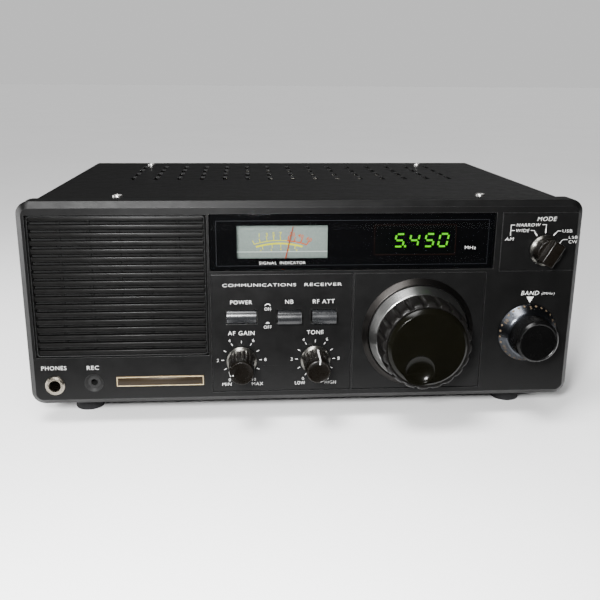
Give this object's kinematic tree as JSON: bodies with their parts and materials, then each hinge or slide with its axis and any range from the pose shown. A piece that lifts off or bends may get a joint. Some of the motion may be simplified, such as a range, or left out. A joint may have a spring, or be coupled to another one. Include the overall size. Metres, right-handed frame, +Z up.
{
  "type": "communications receiver",
  "caption": "Table-top short-wave receiver with a smoked display window, slatted speaker grille, large tuning knob and rotary selectors in a black case.",
  "frame": {"origin": "on the surface that the feet stand on, under the middle of the whole box", "axes": "+X to the right as seen from the front, +Y from front to rear, +Z up"},
  "size_m": [0.3, 0.2528, 0.1236],
  "materials": {
    "bezel_plastic": "fine textured satin",
    "grille_plastic": "satin",
    "grille_cloth": "woven",
    "smoked_window": "smoked gloss",
    "mask_film": "printed gloss",
    "panel_paint": "fine textured satin",
    "ring_metal": "turned satin",
    "badge_metal": "brushed",
    "case_paint": "crinkle satin",
    "rear_paint": "satin",
    "plated_steel": "zinc plated",
    "screw_steel": "nickel plated",
    "foot_rubber": "moulded",
    "clip_plastic": "moulded",
    "bright_aluminium": "turned",
    "grip_rubber": "satin",
    "cap_plastic": "satin",
    "shaft_steel": "ground",
    "gear_brass": "machined",
    "vane_aluminium": "rolled",
    "knob_plastic": "satin",
    "dial_paint": "turned satin",
    "pot_metal": "pressed",
    "button_plastic": "satin",
    "nickel_plate": "plated",
    "meter_plastic": "moulded",
    "scale_card": "printed",
    "needle_paint": "enamel",
    "tube_glass": "clear",
    "board_laminate": "laminate",
    "basket_steel": "pressed",
    "cone_paper": "pulp",
    "transformer_iron": "varnished"
  },
  "bodies": {
    "receiver": {"front_bezel": "bezel_plastic", "speaker_grille": "grille_plastic", "grille_cloth": "grille_cloth", "display_window": "smoked_window", "display_mask": "mask_film", "control_panel": "panel_paint", "tuning_panel": "panel_paint", "mode_panel": "bezel_plastic", "tuning_ring": "ring_metal", "badge_plate": "badge_metal", "sub_panel": "plated_steel", "chassis": "plated_steel", "top_cover": "case_paint", "bottom_cover": "case_paint", "rear_panel": "rear_paint", "case_screws": "screw_steel", "rubber_feet": "foot_rubber", "bail_clips": "clip_plastic", "tuning_bushing": "gear_brass", "gear_plate": "plated_steel", "capacitor_frame": "vane_aluminium", "control_pots": "pot_metal", "mode_switch": "pot_metal", "band_switch": "pot_metal", "push_switches": "clip_plastic", "phones_jack": "nickel_plate", "recorder_jack": "clip_plastic", "rear_jacks": "nickel_plate", "aerial_socket": "nickel_plate", "wire_terminals": "clip_plastic", "mains_inlet": "clip_plastic", "meter_case": "meter_plastic", "meter_scale": "scale_card", "display_tube": "tube_glass", "display_board": "board_laminate", "speaker_frame": "basket_steel", "speaker_cone": "cone_paper", "main_board": "board_laminate", "power_transformer": "transformer_iron"},
    "tuning": {"tuning_skirt": "bright_aluminium", "tuning_grip": "grip_rubber", "tuning_cap": "cap_plastic", "tuning_shaft": "shaft_steel"},
    "idler": {"idler_gear": "gear_brass"},
    "rotor": {"rotor_gear": "gear_brass", "capacitor_rotor": "vane_aluminium"},
    "gain": {"gain_knob": "knob_plastic", "gain_shaft": "shaft_steel"},
    "tone": {"tone_knob": "knob_plastic", "tone_shaft": "shaft_steel"},
    "mode": {"mode_knob": "knob_plastic", "mode_shaft": "shaft_steel"},
    "band": {"band_dial": "dial_paint", "band_knob": "knob_plastic", "band_shaft": "shaft_steel"},
    "power": {"power_button": "button_plastic"},
    "noise": {"noise_button": "button_plastic"},
    "attenuator": {"attenuator_button": "button_plastic"},
    "needle": {"meter_needle": "needle_paint"},
    "bail": {"tilt_bail": "screw_steel"}
  },
  "joints": [
    {"name": "tuning_turn", "type": "hinge", "parent": "receiver", "child": "tuning", "pos_m": [0.062, -0.0993, 0.0504], "axis": [0, 1, 0], "range_deg": [-1296, 1584]},
    {"name": "idler_turn", "type": "hinge", "parent": "receiver", "child": "idler", "pos_m": [0.038, -0.0858, 0.0504], "axis": [0, 1, 0], "range_deg": [-400, 330]},
    {"name": "rotor_turn", "type": "hinge", "parent": "receiver", "child": "rotor", "pos_m": [0.062, -0.0593, 0.0504], "axis": [0, 1, 0], "range_deg": [-82, 100]},
    {"name": "gain_turn", "type": "hinge", "parent": "receiver", "child": "gain", "pos_m": [-0.0351, -0.0993, 0.0362], "axis": [0, 1, 0], "range_deg": [-48, 252]},
    {"name": "tone_turn", "type": "hinge", "parent": "receiver", "child": "tone", "pos_m": [0.0054, -0.0993, 0.0362], "axis": [0, 1, 0], "range_deg": [-158, 142]},
    {"name": "mode_turn", "type": "hinge", "parent": "receiver", "child": "mode", "pos_m": [0.1293, -0.0993, 0.0966], "axis": [0, 1, 0], "range_deg": [-60, 30]},
    {"name": "band_turn", "type": "hinge", "parent": "receiver", "child": "band", "pos_m": [0.1235, -0.0993, 0.05], "axis": [0, 1, 0], "range_deg": [-60, 288]},
    {"name": "power_press", "type": "slide", "parent": "receiver", "child": "power", "axis": [0, -1, 0], "range_m": [0, 0.0035]},
    {"name": "noise_press", "type": "slide", "parent": "receiver", "child": "noise", "axis": [0, 1, 0], "range_m": [0, 0.0035], "stiffness_N_per_m": 300, "springref_m": -0.002},
    {"name": "attenuator_press", "type": "slide", "parent": "receiver", "child": "attenuator", "axis": [0, 1, 0], "range_m": [0, 0.0035], "stiffness_N_per_m": 300, "springref_m": -0.002},
    {"name": "needle_swing", "type": "hinge", "parent": "receiver", "child": "needle", "pos_m": [-0.0146, -0.0921, 0.0746], "axis": [0, 1, 0], "range_deg": [-39.5, 13.5], "stiffness_Nm_per_rad": 0.002},
    {"name": "bail_swing", "type": "hinge", "parent": "receiver", "child": "bail", "pos_m": [0, -0.0693, 0.0095], "axis": [-1, 0, 0], "range_deg": [0, 105]}
  ],
  "couplings": [
    {"joint": "idler_turn", "follows": "tuning_turn", "ratio": -0.25},
    {"joint": "rotor_turn", "follows": "tuning_turn", "ratio": 0.0625}
  ]
}
